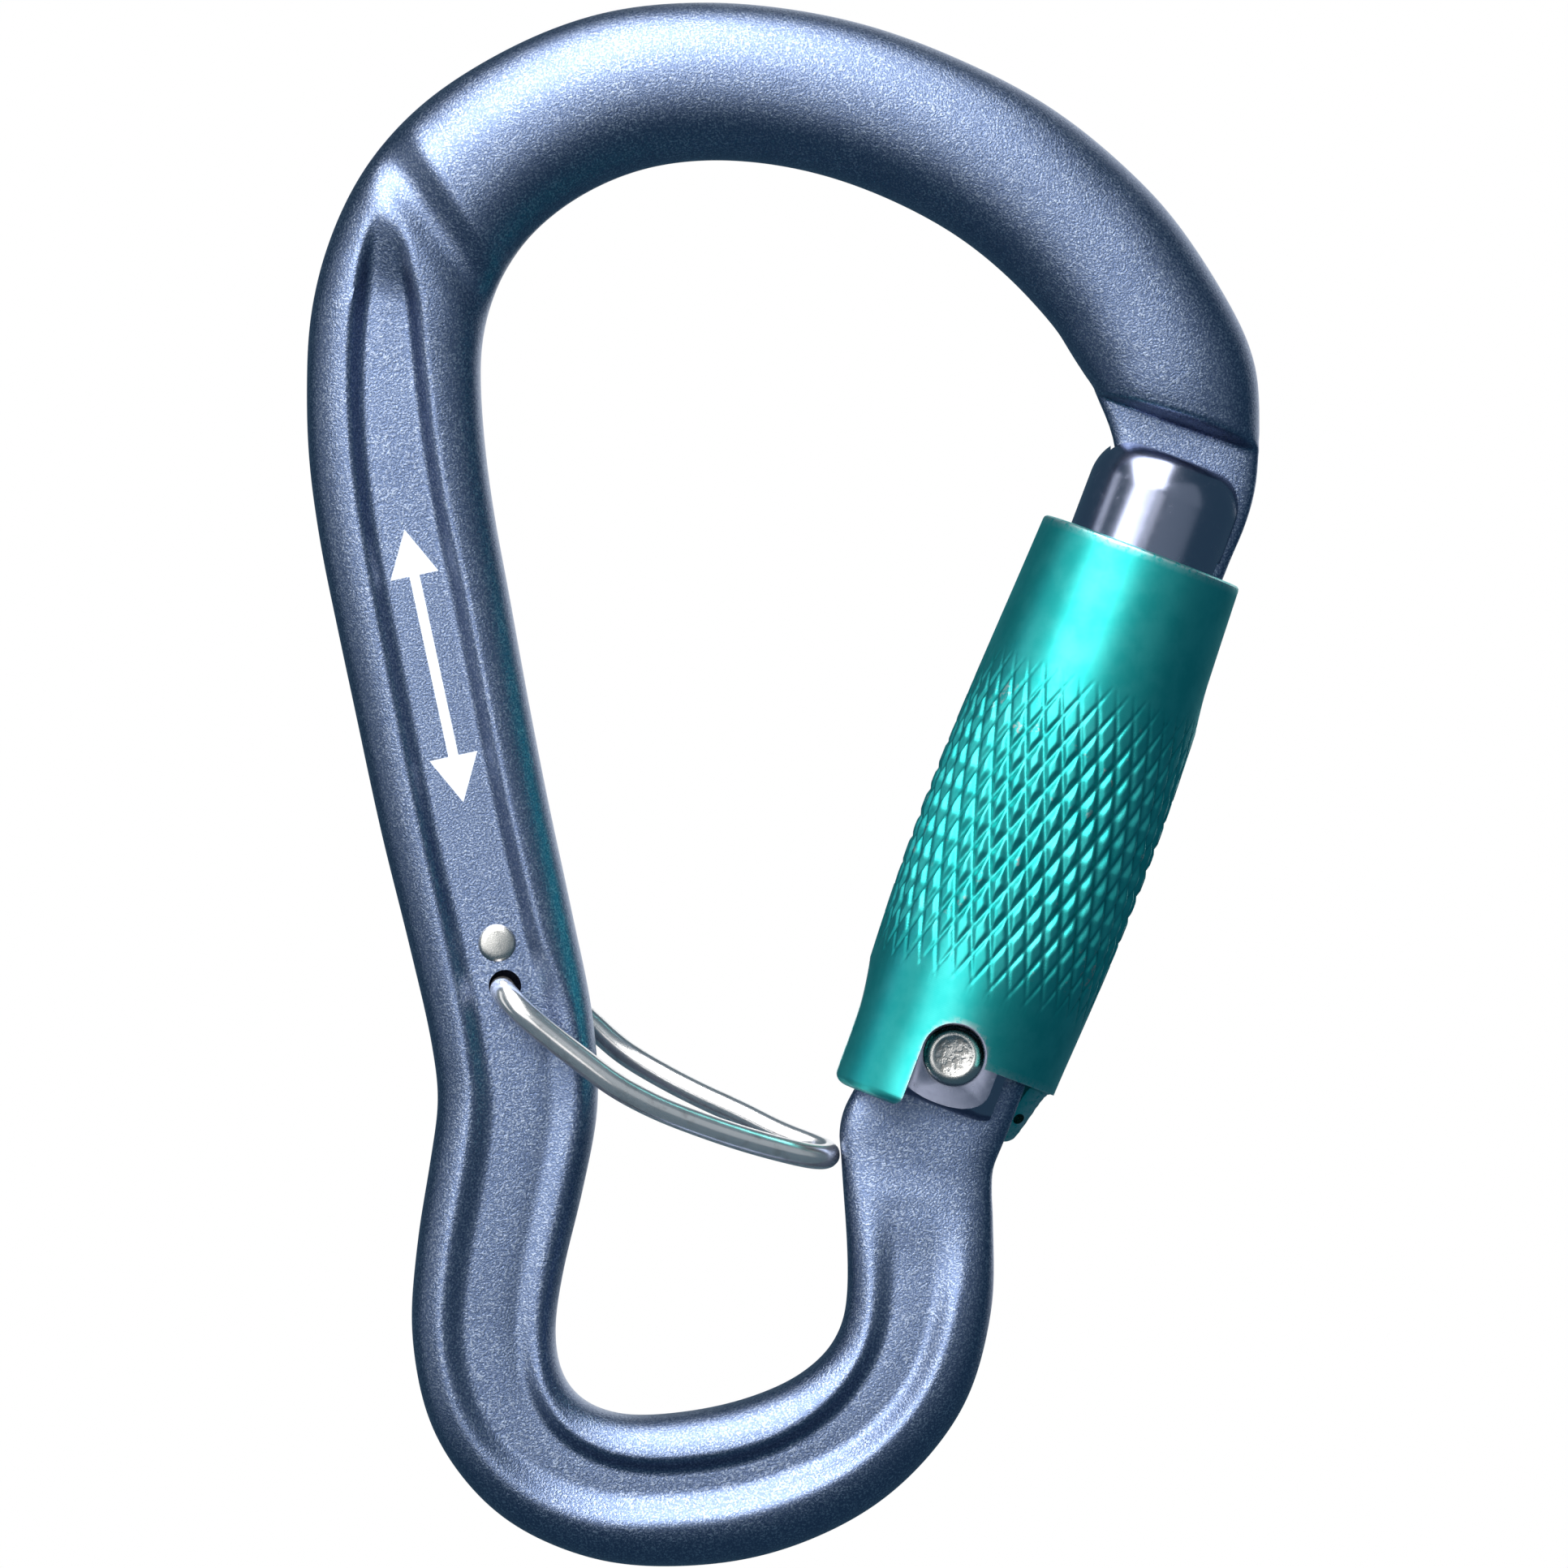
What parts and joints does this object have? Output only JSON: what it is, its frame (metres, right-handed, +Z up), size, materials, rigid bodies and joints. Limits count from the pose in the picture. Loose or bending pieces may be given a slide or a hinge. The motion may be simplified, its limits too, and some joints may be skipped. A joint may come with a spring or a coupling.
{
  "type": "locking carabiner",
  "caption": "Pear-shaped belay carabiner: I-beam frame, keyed gate under a knurled twist-lock sleeve, and a sprung wire keeper across the lower basket.",
  "frame": {"origin": "inner apex of the top basket, where the rope bears, on the mid-plane of the frame", "axes": "+Z up the long axis from the lower basket to the top basket, +X towards the gate, front face towards -Y"},
  "size_m": [0.0716, 0.0178, 0.118],
  "materials": {
    "frame_anodised": "bead-blasted, slate-blue anodised",
    "gate_polished": "polished, slate-blue anodised",
    "sleeve_anodised": "satin teal anodised, knurled grip",
    "steel_polished": "polished stainless steel",
    "spring_steel": "drawn spring wire"
  },
  "bodies": {
    "frame": {"frame": "frame_anodised"},
    "gate": {"gate": "gate_polished", "gate_rivet": "steel_polished", "gate_spring": "spring_steel", "sleeve_torsion_spring": "spring_steel", "sleeve_retaining_ring": "spring_steel", "sleeve_stop_pin": "steel_polished"},
    "sleeve": {"sleeve": "sleeve_anodised"},
    "plunger": {"gate_plunger": "steel_polished"},
    "keeper": {"keeper_wire": "steel_polished"}
  },
  "joints": [
    {"name": "gate_hinge", "type": "hinge", "parent": "frame", "child": "gate", "pos_m": [0.0174, 0, -0.0676], "axis": [0, -1, 0], "range_deg": [0, 27], "stiffness_Nm_per_rad": 0.2, "springref_deg": -34.38},
    {"name": "sleeve_twist", "type": "hinge", "parent": "gate", "child": "sleeve", "pos_m": [0.0174, 0, -0.0676], "axis": [0.3551, 0, 0.9348], "range_deg": [0, 90], "stiffness_Nm_per_rad": 0.02, "springref_deg": 148.97, "deforming": ["sleeve_torsion_spring"]},
    {"name": "plunger_slide", "type": "slide", "parent": "gate", "child": "plunger", "axis": [0.3551, 0, 0.9348], "range_m": [0, 0.00075], "deforming": ["gate_spring"]},
    {"name": "keeper_hinge", "type": "hinge", "parent": "frame", "child": "keeper", "pos_m": [-0.01667, 0, -0.06075], "axis": [0, 1, 0], "range_deg": [0, 25], "stiffness_Nm_per_rad": 0.02, "springref_deg": -17.19}
  ],
  "couplings": [
    {"joint": "plunger_slide", "follows": "gate_hinge", "m_per_rad": 0.0015}
  ]
}
